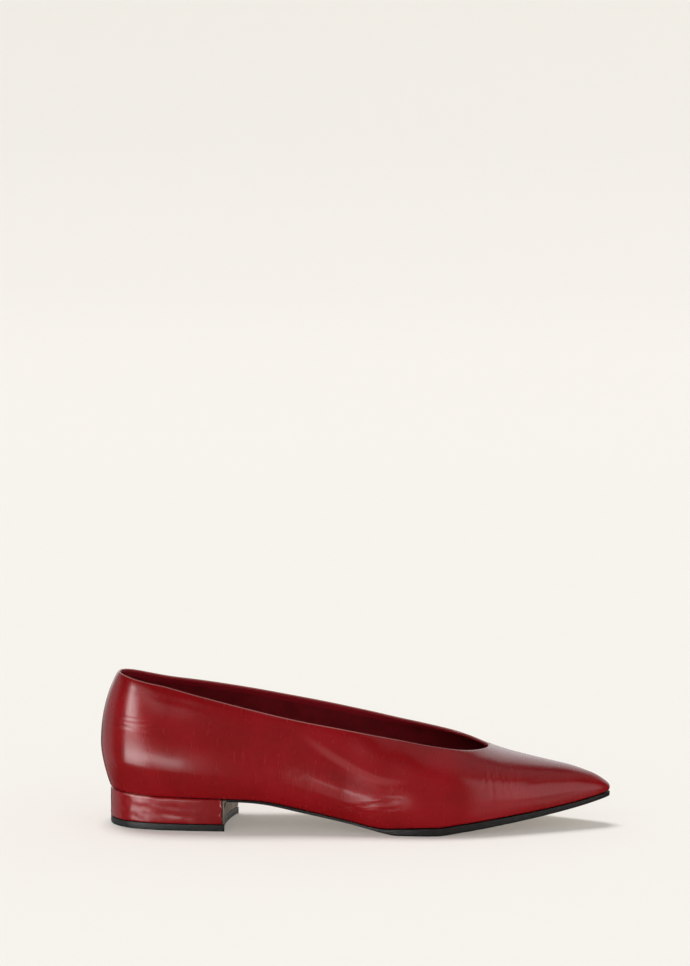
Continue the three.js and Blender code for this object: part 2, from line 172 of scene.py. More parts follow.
def by_side(turn, curves, at):
    """Reads the inner side's curve where the turn is positive and the outer side's elsewhere."""
    return np.where(np.sin(turn) > 0, curves["inner"](at), curves["outer"](at))


def crown_fall(at, behind=0.012, ahead=0.0):
    """How steeply the crown falls at a place, in millimetres down for each one forward."""
    front = np.minimum(at + ahead, CROWN["at"][-1])
    return (crown(at - behind) - crown(front)) / ((front - at + behind) * FEATHER_LENGTH)


def columns(turn):
    """The upright columns of the wall. A turn of 0 is the back of the heel, negative turns run along the
    outer side and positive ones along the inner side, and half a turn is the tip of the toe."""
    at = (1 - np.cos(turn)) / 2
    x = HEEL_BACK + at * FEATHER_LENGTH
    way = np.where(np.sin(turn) > 0, 1, -1)
    foot = np.stack([x, way * by_side(turn, half_width, at)], -1)
    heel_fan = np.maximum(0, 1 - (x - HEEL_BACK) / (2 * HEEL_RADIUS))
    toe_fan = np.maximum(0, 1 - (FEATHER_TIP - x) / (2 * TOE_RADIUS))
    spine_x = x + HEEL_RADIUS * heel_fan ** 2 - TOE_RADIUS * toe_fan ** 2
    crown_at = np.minimum(at, place_at(spine_x))
    spine = np.stack([spine_x, crown_side(crown_at)], -1)
    out = foot - spine
    radius = np.linalg.norm(out, axis=-1)
    out = out / radius[..., None]
    low = feather_height(x)
    return {"at": at, "foot": foot, "spine": spine, "out": out, "radius": radius,
            "low": low, "middle": low + belly(at), "top": crown(crown_at),
            "fall": crown_fall(crown_at) * out[..., 0].clip(0),
            "bulge": by_side(turn, swell, at), "power": 2 / square(at)}


def last_surface(turn, climb):
    """The last's surface. Climb is 0 at the feather line, 1 at the widest line and 2 at the crown: below the
    widest line the wall curves in by a power of its depth, and above it the section is a superellipse, which
    at the toe's cap goes on falling as the crown does."""
    c = columns(turn)
    dip = np.clip(1 - climb, 0, 1)
    lean = np.clip(climb - 1, 0, 1) * np.pi / 2
    under = climb <= 1
    full = c["radius"] + c["bulge"]
    reach = np.where(under, c["radius"] + c["bulge"] * (1 - dip ** UNDERCUT),
                     full * np.cos(lean).clip(0) ** c["power"])
    z = np.where(under, c["middle"] + (c["low"] - c["middle"]) * (1 - climb),
                 c["middle"] + (c["top"] - c["fall"] * reach - c["middle"]) * np.sin(lean) ** c["power"])
    plan = c["spine"] + c["out"] * reach[..., None]
    return np.concatenate([plan, z[..., None]], -1)


def unit(v):
    """Vectors divided by their own lengths."""
    return v / np.linalg.norm(v, axis=-1, keepdims=True)


def last_normal(turn, climb):
    """Outward normal of the last by differences; on the crown it is square to the crown line."""
    small = 1e-3
    along = last_surface(turn + small, climb) - last_surface(turn - small, climb)
    up = last_surface(turn, np.minimum(2, climb + small)) - last_surface(turn, np.maximum(0, climb - small))
    normal = unit(np.cross(up, along))
    x = last_surface(turn, climb)[..., 0]
    fall = crown_fall(place_at(x), 0.004, 0.004)
    on_crown = unit(np.stack([fall, 0 * fall, 1 + 0 * fall], -1))
    return np.where((climb >= 2 - 1e-6)[..., None], on_crown, normal)


def offset_last(turn, climb, depth):
    """The last's surface moved in by a depth: along its normal above the widest line, at a level below it,
    and straight down on the crown, where both sides meet."""
    point, normal = last_surface(turn, climb), last_normal(turn, climb)
    flat = normal * [1, 1, 0]
    level = flat / np.maximum((flat ** 2).sum(-1, keepdims=True), 1e-6)
    down = np.array([0, 0, 1.0]) / normal[..., 2:3].clip(0.2)
    way = np.where((climb <= 1)[..., None], level, normal)
    way = np.where((climb >= 2 - 1e-6)[..., None], down, way)
    return point - way * depth


def climb_to(turn, z):
    """The climb at which a column is at height z."""
    c = columns(turn)
    lean = 0 * turn
    for _ in range(8):
        reach = (c["radius"] + c["bulge"]) * np.cos(lean).clip(0) ** c["power"]
        share = np.clip((z - c["middle"]) / (c["top"] - c["fall"] * reach - c["middle"]), 0, 1)
        lean = np.arcsin(share ** (1 / c["power"]))
    return np.where(z <= c["middle"], (z - c["low"]) / (c["middle"] - c["low"]), 1 + lean * 2 / np.pi)


def climb_to_topline(turn):
    """How far each column climbs: to the topline behind the throat, and to the crown in front of it."""
    at = (1 - np.cos(turn)) / 2
    height = THROAT_HEIGHT + by_side(turn, topline_drop, at / THROAT_PLACE)
    return np.where(at >= THROAT_PLACE - 1e-9, 2.0, climb_to(turn, height))


def object_of(name, mesh):
    """An object at the origin for a mesh, smooth all over, and linked to the scene."""
    mesh.polygons.foreach_set("use_smooth", np.full(len(mesh.polygons), True))
    piece = bpy.data.objects.new(name, mesh)
    bpy.context.scene.collection.objects.link(piece)
    return piece


def piece_from(name, loops, faces, material, facts):
    """A piece from a grid of points in millimetres and its faces: points that fall together are merged, points
    that carry no face are dropped, and each fact becomes a number on the points for the material to read."""
    mesh = bpy.data.meshes.new(name)
    mesh.from_pydata(((loops.reshape(-1, 3) - MIDDLE) * MM).tolist(), [], faces.tolist())
    for fact, values in facts.items():
        layer = mesh.attributes.new(fact, "FLOAT", "POINT")
        layer.data.foreach_set("value", np.asarray(values, np.float32).ravel())
    work = bmesh.new()
    work.from_mesh(mesh)
    bmesh.ops.remove_doubles(work, verts=work.verts, dist=1e-6)
    bmesh.ops.dissolve_degenerate(work, dist=1e-7, edges=work.edges)
    bmesh.ops.delete(work, geom=[v for v in work.verts if not v.link_faces], context="VERTS")
    work.to_mesh(mesh)
    work.free()
    mesh.materials.append(material)
    mesh.update()
    return object_of(name, mesh)


def band(row_count, column_count, ring_rows=False, ring_columns=False, keep=None):
    """Four-cornered faces of a grid of rows and columns, as a ring where the last joins the first. keep is a
    mask of the faces that stay."""
    rows = np.arange(row_count if ring_rows else row_count - 1)[:, None]
    cols = np.arange(column_count if ring_columns else column_count - 1)[None, :]
    up, on = (rows + 1) % row_count, (cols + 1) % column_count
    faces = np.stack([rows * column_count + cols, up * column_count + cols,
                      up * column_count + on, rows * column_count + on], -1)
    return faces.reshape(-1, 4) if keep is None else faces[keep]


def dress(piece, slot, *nodes):
    """Every piece rides on the one body and stands for its solids, which it hides; slot is not used."""
    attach(piece, "root")
    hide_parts(*nodes)


def linear(code):
    """An sRGB hex colour as the linear colour that the shader wants."""
    parts = [int(code[i:i + 2], 16) / 255 for i in (0, 2, 4)]
    return [c / 12.92 if c <= 0.04045 else ((c + 0.055) / 1.055) ** 2.4 for c in parts] + [1.0]


def add(tree, kind, *inputs, out=0, **settings):
    """Adds a node and gives back one of its outputs, or the node where it has none. Inputs fill its sockets in
    order, or by name or number where they stand in a dictionary, with numbers, colours or other nodes' outputs;
    settings are the node's own."""
    node = tree.nodes.new("ShaderNode" + kind)
    for name, value in settings.items():
        setattr(node, name, value)
    named = {}
    for place, value in enumerate(inputs):
        named.update(value if isinstance(value, dict) else {place: value})
    for name, value in named.items():
        if isinstance(value, bpy.types.NodeSocket):
            tree.links.new(value, node.inputs[name])
        else:
            node.inputs[name].default_value = value
    return node.outputs[out] if node.outputs else node


STEP = {"interpolation_type": "SMOOTHSTEP"}
BLEND = {"data_type": "RGBA", "out": 2}


def start_material(name):
    """An empty material and its place on the shoe in millimetres."""
    material = bpy.data.materials.new(name)
    material.use_nodes = True
    tree = material.node_tree
    tree.nodes.clear()
    where = add(tree, "TexCoord", out="Object")
    return material, tree, add(tree, "VectorMath", where, {"Scale": 1000.0}, operation="SCALE")


def finish_material(tree, colour, roughness, height, relief, **constants):
    """The shader itself: colour and roughness from nodes, relief as the bump's depth in millimetres."""
    bump = add(tree, "Bump", {"Height": height, "Strength": 1.0, "Distance": relief * MM})
    numbers = {key.replace("_", " "): value for key, value in constants.items()}
    numbers.update({"Base Color": colour, "Roughness": roughness, "Normal": bump})
    add(tree, "OutputMaterial", {"Surface": add(tree, "BsdfPrincipled", numbers)})


def calf_leather(name, roughness):
    """Glazed calf: full-grain skin, dyed through, pressed smooth and polished. It gives a deep even red, broad
    soft highlights with a crisper wax shine over them and fine pores; painted highlight pales the colour on
    ridges, on wrinkle crests and at the folded rim, and painted shade darkens it in the troughs."""
    material, tree, place = start_material(name)
    # the pale pink of the painted highlight on ridges and wrinkle crests
    painted_sheen = "ac4a4c"
    cloud = add(tree, "TexNoise", {"Vector": place, "Scale": 1 / 26, "Detail": 3.0})
    colour = add(tree, "Mix", {0: add(tree, "MapRange", cloud, 0.35, 0.68, 0.0, 1.0, **STEP),
                               6: linear("85050b"), 7: linear("920712")}, **BLEND)
    mottle = add(tree, "TexNoise", {"Vector": place, "Scale": 1 / 1.6, "Detail": 4.0, "Roughness": 0.6})
    colour = add(tree, "Mix", {0: add(tree, "MapRange", mottle, 0.4, 0.75, 0.0, 0.3, **STEP),
                               6: colour, 7: linear("9c1219")}, **BLEND)
    # painted highlight: the colour pales on ridges and at the folded rim; painted shade: it darkens in the
    # troughs
    for fact, low, high, most, shade in (
            ("ridge", 0.15, 1.0, 0.4, painted_sheen), ("trough", 0.1, 1.0, 0.55, "45060a"),
            ("at_rim", 0.5, 1.0, 0.75, "b8706c")):
        amount = add(tree, "MapRange", add(tree, "Attribute", attribute_name=fact, out="Fac"),
                     low, high, 0.0, most, **STEP)
        colour = add(tree, "Mix", {0: amount, 6: colour, 7: linear(shade)}, **BLEND)
    # polishing strokes run up the wall, 15 mm long and 2.5 mm wide
    stroke_place = add(tree, "Mapping", place, {"Scale": (1 / 2.5, 1 / 2.5, 1 / 15)})
    strokes = add(tree, "TexNoise", {"Vector": stroke_place, "Scale": 1.0, "Detail": 4.0, "Roughness": 0.6})
    shine = add(tree, "MapRange", strokes, 0.3, 0.7, roughness - 0.005, roughness + 0.005, **STEP)
    # pores are about 0.2 mm apart on calf; drawn at 0.7 mm so that they show, with a finer tooth over them
    pores = add(tree, "MapRange", add(tree, "TexVoronoi", {"Vector": place, "Scale": 1 / 0.7},
                                      feature="DISTANCE_TO_EDGE"), 0.0, 0.25, 0.0, 0.5, **STEP)
    tooth = add(tree, "TexNoise", {"Vector": place, "Scale": 1 / 0.35, "Detail": 3.0})
    height = add(tree, "Math", tooth, 0.3, pores, operation="MULTIPLY_ADD")
    slow = add(tree, "TexNoise", {"Vector": place, "Scale": 1 / 7, "Detail": 2.0})
    height = add(tree, "Math", slow, 6.0, height, operation="MULTIPLY_ADD")
    # fine wrinkles: lying ones 0.8 mm apart where the foot flexes, standing ones 0.9 mm apart in the folds
    for fact, scale in (("lying", (1 / 6, 1 / 6, 1 / 0.8)), ("standing", (1 / 0.9, 1 / 6, 1 / 9))):
        lines = add(tree, "TexNoise", {"Vector": add(tree, "Mapping", place, {"Scale": scale}),
                                       "Scale": 1.0, "Detail": 3.0, "Roughness": 0.6})
        here = add(tree, "Attribute", attribute_name=fact, out="Fac")
        depth = add(tree, "Math", here, 6.0, operation="MULTIPLY")
        height = add(tree, "Math", lines, depth, height, operation="MULTIPLY_ADD")
        # painted glints: pale flecks of colour on the crests of the fine wrinkles
        spark = add(tree, "Math", here, add(tree, "MapRange", lines, 0.56, 0.7, 0.0, 0.45, **STEP),
                    operation="MULTIPLY")
        colour = add(tree, "Mix", {0: spark, 6: colour, 7: linear(painted_sheen)}, **BLEND)
    finish_material(tree, colour, shine, height, 0.012, IOR=1.42, Coat_Weight=0.4, Coat_Roughness=0.13)
    return material


def lining_leather(name):
    """Matt lining skin: thin vegetable-tanned leather with a dry nap, so it gives no clear highlight. The
    strip under the topline is the turned-in calf, a little lighter."""
    material, tree, place = start_material(name)
    cloud = add(tree, "TexNoise", {"Vector": place, "Scale": 1 / 9, "Detail": 4.0, "Roughness": 0.6})
    colour = add(tree, "Mix", {0: add(tree, "MapRange", cloud, 0.3, 0.7, 0.0, 1.0, **STEP),
                               6: linear("651016"), 7: linear("7a141b")}, **BLEND)
    below = add(tree, "Attribute", attribute_name="below_topline", out="Fac")
    colour = add(tree, "Mix", {0: add(tree, "MapRange", below, 3.6, 3.9, 1.0, 0.0, **STEP),
                               6: colour, 7: linear("8a1420")}, **BLEND)
    nap = add(tree, "TexNoise", {"Vector": place, "Scale": 1 / 0.5, "Detail": 4.0, "Roughness": 0.7})
    height = add(tree, "Math", cloud, 2.0, nap, operation="MULTIPLY_ADD")
    rough = add(tree, "MapRange", cloud, 0.3, 0.7, 0.55, 0.7, **STEP)
    finish_material(tree, colour, rough, height, 0.04, Specular_IOR_Level=0.3)
    return material


def sole_leather(name):
    """Sole bend: thick vegetable-tanned leather. Its edge is inked black and burnished with wax, which gives
    a soft grey sheen, and its underside is sanded and left natural, with short fibres and fine scratches."""
    material, tree, place = start_material(name)
    lying = add(tree, "Mapping", place, {"Scale": (1 / 7, 1 / 1.2, 1 / 0.7)})
    fibre = add(tree, "TexNoise", {"Vector": lying, "Scale": 1.0, "Detail": 5.0, "Roughness": 0.65})
    # on the flap at the heel's breast the fibres stand upright
    standing = add(tree, "Mapping", place, {"Scale": (1 / 1.5, 1 / 1.5, 1 / 14)})
    upright = add(tree, "TexNoise", {"Vector": standing, "Scale": 1.0, "Detail": 4.0, "Roughness": 0.6})
    on_flap = add(tree, "Attribute", attribute_name="flap", out="Fac")
    fibre = add(tree, "Mix", on_flap, {2: fibre, 3: upright}, data_type="FLOAT")
    bare = add(tree, "Mix", {0: add(tree, "MapRange", fibre, 0.35, 0.65, 0.0, 1.0, **STEP),
                             6: linear("93857a"), 7: linear("bfb1a4")}, **BLEND)
    cloud = add(tree, "TexNoise", {"Vector": place, "Scale": 1 / 16, "Detail": 3.0})
    bare = add(tree, "Mix", {0: add(tree, "MapRange", cloud, 0.35, 0.7, 0.0, 0.4, **STEP),
                             6: bare, 7: linear("7d6f62")}, **BLEND)
    specks = add(tree, "TexNoise", {"Vector": place, "Scale": 1 / 0.7, "Detail": 3.0})
    ink = add(tree, "Mix", {0: add(tree, "MapRange", specks, 0.4, 0.75, 0.0, 1.0, **STEP),
                            6: linear("161514"), 7: linear("2a2725")}, **BLEND)
    inked = add(tree, "Attribute", attribute_name="inked", out="Fac")
    colour = add(tree, "Mix", {0: inked, 6: bare, 7: ink}, **BLEND)
    rough = add(tree, "MapRange", fibre, 0.3, 0.7, 0.56, 0.68, **STEP)
    rough = add(tree, "Math", inked, -0.14, rough, operation="MULTIPLY_ADD")
    height = add(tree, "Math", specks, 0.5, fibre, operation="MULTIPLY_ADD")
    finish_material(tree, colour, rough, height, 0.045)
    return material


def lift_rubber(name):
    """Moulded rubber top piece: near black, matt, with a faint bloom and a fine pebble from its mould."""
    material, tree, place = start_material(name)
    bloom = add(tree, "TexNoise", {"Vector": place, "Scale": 1 / 8, "Detail": 4.0, "Roughness": 0.6})
    colour = add(tree, "Mix", {0: add(tree, "MapRange", bloom, 0.4, 0.75, 0.0, 1.0, **STEP),
                               6: linear("191a19"), 7: linear("2d2f2c")}, **BLEND)
    # painted reflection: the breast is painted grey, for the sheen of the pale floor on it, against the black
    # sides
    floor_sheen = add(tree, "Attribute", attribute_name="floor_sheen", out="Fac")
    colour = add(tree, "Mix", {0: floor_sheen, 6: colour, 7: linear("5e5a55")}, **BLEND)
    rough = add(tree, "MapRange", bloom, 0.3, 0.7, 0.42, 0.56, **STEP)
    pebble = add(tree, "TexVoronoi", {"Vector": place, "Scale": 1 / 0.8})
    finish_material(tree, colour, rough, pebble, 0.025)
    return material


# Each crease is a soft trough on one side of the upper, with a low ridge along each flank, or a ridge where
# deep is negative. side is -1 for the outer side; along is the length from the back of the heel and up the
# length of wall above the feather line, both in millimetres; reach is its half length, tilt its slope in
# degrees, bow how far its middle sags, and wide and deep its half width and depth.
CREASES = table("side along up reach tilt bow wide deep", [
    # at the heel, where the counter gives way: four short lines and a faint long one round to the back
    (-1, 17.5, 40.4, 7, -3, 0.4, 0.8, 0.2), (-1, 19.5, 38.2, 8, 2, 0.5, 0.75, 0.26),
    (-1, 17, 35.8, 6.5, -4, 0.5, 0.8, 0.24), (-1, 22, 34.1, 6, -7, 0.4, 0.9, 0.16),
    (-1, 8, 36.4, 10, -3, 0.5, 0.9, 0.2),
    # the soft fold that follows the topline, and the long ridge down to the ball
    (-1, 38, 50.2, 21, -11, -0.8, 2.0, 0.1), (-1, 130, 30.6, 26, -20, 2.2, 3.6, -0.2),
    (-1, 146, 26.4, 14, -7, 0.6, 2.6, -0.14), (-1, 116, 24.4, 26, -9, 0.8, 4.6, 0.1),
    # above the waist and at the ball, where the sole bends
    (-1, 86, 22.4, 16, -5, -0.6, 1.6, 0.1), (-1, 122, 17.8, 14, -8, 0.6, 2.2, -0.08),
    (-1, 128.5, 8.2, 6, 15, 0.4, 0.8, 0.14), (-1, 133, 9.8, 7, 12, -0.5, 0.75, 0.16),
    (-1, 137.5, 12.6, 7, 14, 0.5, 0.8, 0.17), (-1, 141.5, 9.2, 6, 9, 0.4, 0.75, 0.13),
    (-1, 145.5, 13.8, 6.5, 6, -0.5, 0.8, 0.15), (-1, 148.5, 11.2, 5, 4, 0.3, 0.7, 0.12),
    (-1, 151, 16.6, 6, -4, 0.3, 0.9, 0.1),
    # upright folds on the side of the vamp
    (-1, 196.5, 24.5, 6, 84, 0.5, 0.95, 0.13), (-1, 200.5, 20.5, 8, 87, -0.5, 0.95, 0.17),
    (-1, 204.4, 19.5, 8, 92, 0.4, 0.9, 0.15), (-1, 208.2, 17, 7, 96, -0.4, 0.9, 0.14),
    (-1, 212.2, 18, 6.5, 99, 0.5, 1.0, 0.12), (-1, 222, 17.5, 10, 12, 0.8, 2.2, 0.12),
    (-1, 225, 6.0, 18, -4, 0.3, 1.1, 0.16),
    # the inner side creases the same way, a little less
    (1, 16, 38.5, 7, 3, 0.5, 0.8, 0.15), (1, 19, 35.6, 7.5, -3, -0.4, 0.75, 0.15),
    (1, 10, 33, 8, 4, 0.4, 0.9, 0.1), (1, 44, 47.5, 20, -9, -0.7, 2.0, 0.13),
    (1, 118, 28, 26, -14, 1.6, 3.4, -0.18), (1, 104, 20, 20, -6, 0.7, 3.4, 0.1),
    (1, 132, 12.5, 7, 13, 0.5, 0.8, 0.15), (1, 138, 10.4, 7, 10, -0.4, 0.75, 0.15),
    (1, 144, 14.2, 6.5, 7, 0.4, 0.8, 0.13), (1, 150, 11.6, 5, 2, 0.3, 0.75, 0.11),
    (1, 199, 22, 7, 88, 0.5, 0.95, 0.13), (1, 204, 19, 7.5, 94, -0.4, 0.95, 0.14),
    (1, 209, 18, 6, 97, 0.4, 0.95, 0.11)])

# Fine wrinkles too thin to mesh lie in these places: lying ones or standing ones, with the middle of each
# place, its half length and half height, its slope and how strongly they show.
WRINKLED = table("side along up reach high tilt standing strength", [
    (-1, 18, 37.6, 10, 4.5, -2, 0, 1.0), (-1, 138, 11.4, 14, 5.5, 12, 0, 1.0),
    (-1, 24, 54, 9, 3, -10, 0, 0.8), (-1, 100, 20.5, 34, 5.0, -7, 1, 0.55),
    (-1, 205, 18, 12, 10, -60, 1, 1.0), (-1, 236, 2.5, 16, 2.0, -4, 0, 0.5),
    (-1, 52, 46, 12, 3, -12, 0, 0.4), (1, 18, 37, 9, 4.5, 2, 0, 0.9), (1, 139, 12, 13, 5.5, 10, 0, 0.9),
    (1, 100, 19, 30, 5.0, -6, 1, 0.5), (1, 204, 19, 11, 9, -60, 1, 0.9)])


def rows_of(marks):
    """Each row of a table of marks on the wall, as a dictionary."""
    return [dict(zip(marks, row)) for row in zip(*marks.values())]


def beside(mark, along, up):
    """How far points of the wall lie along a tilted mark and how far off it."""
    tilt = math.radians(mark["tilt"])
    run = (along - mark["along"]) * math.cos(tilt) + (up - mark["up"]) * math.sin(tilt)
    off = (up - mark["up"]) * math.cos(tilt) - (along - mark["along"]) * math.sin(tilt)
    return run, off


def wrinkled(side, along, up, standing):
    """How strongly fine wrinkles show at points of the wall: a rounded bell over each place of that kind."""
    total = 0 * up
    for w in rows_of(WRINKLED):
        if w["standing"] == standing:
            run, off = beside(w, along, up)
            bell = np.exp(-((run / w["reach"]) ** 2 + (off / w["high"]) ** 2) ** 1.5)
            total = np.maximum(total, np.where(side == w["side"], w["strength"] * bell, 0))
    return total


def creases(side, along, up):
    """The depth of every crease at points of the wall: across each one a bell curve less half a wider one,
    and along it a fade to both ends."""
    total = 0 * up
    for c in rows_of(CREASES):
        run, off = beside(c, along, up)
        off = off + c["bow"] * (1 - (run / c["reach"]) ** 2)
        across = np.exp(-(off / c["wide"]) ** 2) - 0.5 * np.exp(-(off / (2.2 * c["wide"])) ** 2)
        fade = np.exp(-np.abs(run / c["reach"]) ** 3)
        total = total + np.where(side == c["side"], c["deep"] * across * fade, 0)
    return total


def waves(seed, along, up, shortest, longest, count=24):
    """Slow unevenness of hand-lasted leather: waves of seeded lengths and directions, added up."""
    draw = np.random.default_rng(seed)
    total = 0 * up
    for length, angle, phase in draw.uniform([shortest, 0, 0], [longest, math.pi, 2 * math.pi], (count, 3)):
        total += np.sin(2 * math.pi * (along * math.cos(angle) + up * math.sin(angle)) / length + phase)
    return total / math.sqrt(count)


def from_middle(along, across):
    """0 on the shoe's middle line and 1 from 6 mm beside it, so that what differs on the two sides meets."""
    return np.clip(np.abs(across - crown_side(place_at(along))) / 6, 0, 1)


def calf_relief(side, surface, up, below, folds):
    """What shaping and wear leave on the calf, in millimetres outwards: the fold under the topline, a bell
    and a narrower, deeper one across the closed seam at the back, a slow unevenness, and the creases."""
    folded = 0.1 * (1 - 1 / (1 + np.exp(-(below - 4.6) / 0.6)))
    along, across = surface[..., 0], surface[..., 1]
    seam = 0.28 * np.exp(-(across / 1.6) ** 2) - 0.62 * np.exp(-(across / 0.42) ** 2)
    uneven = 0.05 * waves(4, along, up + 40 * (side > 0), 14, 40)
    return folded + np.where(along < 30, seam, 0) + (uneven - folds) * from_middle(along, across)


def shell(turns, outer_depth, inner_depth, drop, low_rows, high_rows, tuck, relief=None):
    """A closed skin of leather: rows up its outer face, round its top edge, down its inner face, and round
    the margin that is turned in under the foot. In front of the throat both sides are joined on the crown.
    Gives its points, its faces, and the facts that the calf's and the lining's materials read."""
    top = climb_to_topline(turns)
    c = columns(turns)
    quarter = c["at"] <= THROAT_PLACE + 1e-9
    thick = inner_depth - outer_depth
    climb = np.concatenate([np.linspace(0, 1, low_rows + 1)[:, None] + 0 * turns,
                            1 + np.linspace(0, 1, high_rows + 1)[1:, None] * (top - 1)])
    turn = turns + 0 * climb
    surface = last_surface(turn, climb)
    normal = last_normal(turn, climb)
    steps = np.linalg.norm(np.diff(surface, axis=0), axis=-1)
    up = np.concatenate([0 * turns[None], np.cumsum(steps, 0)])
    below = up[-1] - up

    # the way from the leather into the opening, square to the topline
    edge, edge_normal = surface[-1], normal[-1]
    ring = edge[quarter][:-1]
    run = np.roll(ring, -1, 0) - np.roll(ring, 1, 0)
    run = np.concatenate([run, run[:1]])
    into = np.zeros_like(edge)
    into[quarter] = unit(np.cross(run, edge_normal[quarter]))
    pull = drop + thick / 2

    def face(depth, rows):
        """One face: the last moved in, drawn in towards the edge, and rounded in at the feather line."""
        point = offset_last(turn[rows], climb[rows], depth)
        near = np.clip(1 - below[rows] / 5.0, 0, 1) ** 2
        point = point - into[None] * (near * pull * quarter)[..., None]
        under = np.clip(1 - up[rows] / tuck, 0, 1)
        tucked = tuck * (1 - np.sqrt(1 - under ** 2))
        point[..., :2] -= columns(turn[rows])["out"] * tucked[..., None]
        return point

    outside = face(outer_depth, slice(None))
    along, side = surface[..., 0], np.where(np.sin(turn) > 0, 1, -1)
    folds, inner_rows = 0 * up, np.arange(len(climb))
    if relief is not None:
        # the relief fades to the feather line, and to the topline or, in front of the throat, to the crown
        fade = np.clip(up / 2.0, 0, 1) * np.clip(below / np.where(quarter, 1.2, 8.0), 0, 1)
        folds = creases(side, along, up)
        lift = relief(side, surface, up, below + 99 * ~quarter, folds) * fade
        outside = outside + normal * lift[..., None]
        folds = folds * fade * from_middle(along, surface[..., 1])
        inner_rows = np.unique(np.append(inner_rows[::8], inner_rows[-1]))
    inside = face(inner_depth, inner_rows)
    angle = np.linspace(0, np.pi, 9)[1:-1, None, None]
    centre = (outside[-1] + inside[-1]) / 2
    half = (outside[-1] - inside[-1]) / 2
    rim = centre + half * np.cos(angle) + into * thick / 2 * np.sin(angle)

    def margin_row(inwards, above):
        """A row of the margin, moved in from the feather line and set above it."""
        plan = c["foot"] - c["out"] * inwards[:, None]
        return np.c_[plan, feather_height(plan[:, 0]) + above]

    margin = np.minimum(MARGIN, 0.55 * c["radius"])
    inside[0, :, 2] = feather_height(inside[0, :, 0]) + inner_depth
    if outer_depth > 0:
        outside[0, :, 2] = feather_height(outside[0, :, 0]) + outer_depth
    margin_rows = [margin_row(margin, inner_depth), margin_row(margin, outer_depth),
                   margin_row(0 * margin + tuck, outer_depth)]
    loops = np.concatenate([outside, rim, inside[::-1], margin_rows])
    loops[:, -1] = loops[:, 0]

    count, cols = loops.shape[:2]
    keep = np.ones((count, cols - 1), bool)
    keep[len(outside) - 1:len(outside) + len(rim)] = quarter[:-1] & quarter[1:]

    def outside_only(values):
        """Values for the first rows, and 0 for all that follow."""
        return np.concatenate([values, np.zeros((count - len(values), cols))])

    depth_below = np.where(quarter, below, 99)
    rim_zeros = np.zeros((len(rim), cols))
    at_edge = np.where(quarter, np.clip(1 - below / 0.9, 0, 1), 0)
    # ridge, trough and at_rim mark where the calf's colour is painted with highlight (ridges, rim) and shade
    # (troughs)
    facts = {
        "below_topline": np.concatenate([depth_below, rim_zeros, depth_below[inner_rows][::-1],
                                         np.full((len(margin_rows), cols), 99)]),
        "ridge": outside_only(np.clip(-folds / 0.12, 0, 1)),
        "trough": outside_only(np.clip(folds / 0.25, 0, 1)),
        "at_rim": outside_only(np.concatenate([at_edge, rim_zeros + 1])),
        "lying": outside_only(wrinkled(side, along, up, standing=0)),
        "standing": outside_only(wrinkled(side, along, up, standing=1)),
    }
    return loops, band(count, cols, ring_rows=True, keep=keep), facts


def loop_turns(outer_steps, inner_steps, vamp_steps):
    """Turns of the columns, from the tip round the outer side, the heel and the inner side to the tip. They
    stand close together at the back, at the throat's point and at the tip, where the lines turn."""
    vamp = THROAT_PLACE + (1 - THROAT_PLACE) * np.sin(np.pi / 2 * np.linspace(0, 1, vamp_steps + 1)[1:])
    outer, inner = (round_ends(np.concatenate([
        THROAT_PLACE * (1 - np.cos(np.pi * np.linspace(0, 1, steps + 1)[1:])) / 2, vamp]))
        for steps in (outer_steps, inner_steps))
    return np.concatenate([-outer[::-1], [0], inner])


calf = calf_leather("glazed_red_calf", roughness=0.27)
lining = lining_leather("burgundy_lining_leather")
skin = shell(loop_turns(280, 170, 130), 0.0, LEATHER, 0.0, 20, 76, CALF_TUCK, calf_relief)
dress(piece_from("upper_calf", *skin[:2], calf, skin[2]), "upper_leather", "upper")
skin = shell(loop_turns(150, 150, 50), LEATHER + LINING_GAP, WALL, LINING_DROP, 8, 34, LINING_TUCK)
dress(piece_from("upper_lining", *skin[:2], lining, skin[2]), "sock_leather", "upper")


def slab(edge, rows):
    """A closed slab round one outline. edge holds the outline in plan, the way out of it and the spine that
    the slab closes on; each row is how far out of the outline, what share of the way from the spine, and the
    height as a function of the plan."""
    plan, out, spine = edge
    loops = []
    for outwards, share, height in rows:
        at = spine + (plan + out * np.asarray(outwards)[..., None] - spine) * share
        loops.append(np.c_[at, height(at)])
    return np.stack(loops)


def flat_rows(shares, height):
    """Rows of a slab's flat side, each at a share of the way from the spine to the outline."""
    return [(0.0, share, height) for share in shares]


def rounded_rows(radius, height, steps, at_top=False):
    """Rows of a slab's rounded corner: a quarter circle out of its underside, or one in to its top."""
    rows = []
    for angle in np.linspace(0, np.pi / 2, steps):
        by_sine, by_cosine = 1 - np.sin(angle), 1 - np.cos(angle)
        inwards, rise = (by_cosine, -by_sine) if at_top else (by_sine, by_cosine)
        rows.append((-radius * inwards, 1.0, lambda at, up=radius * rise: height(at) + up))
    return rows


def level(z):
    """A flat height, as a function of the plan."""
    return lambda at: np.full(len(at), z)


def wall_edge(turns, outwards):
    """The feather line in plan, moved outwards, and the way out of it."""
    c = columns(turns)
    return c["foot"] + c["out"] * np.asarray(outwards)[..., None], c["out"]


BREAST_CORNER = HEEL_BACK + HEEL_LENGTH
OUTER_Y = -float(half_width["outer"](place_at(BREAST_CORNER)))
INNER_Y = float(half_width["inner"](place_at(BREAST_CORNER)))


def breast(y, ahead=0.0):
    """The heel's breast in plan: an arc, hollow to the back, that runs further forward on the inner side."""
    across = (y - OUTER_Y) / (INNER_Y - OUTER_Y)
    return BREAST_CORNER + BREAST_TURN * across - 4 * BREAST_HOLLOW * across * (1 - across) + ahead


def turn_at(x):
    """The turn of the columns that stand at a length."""
    return round_ends(place_at(x))


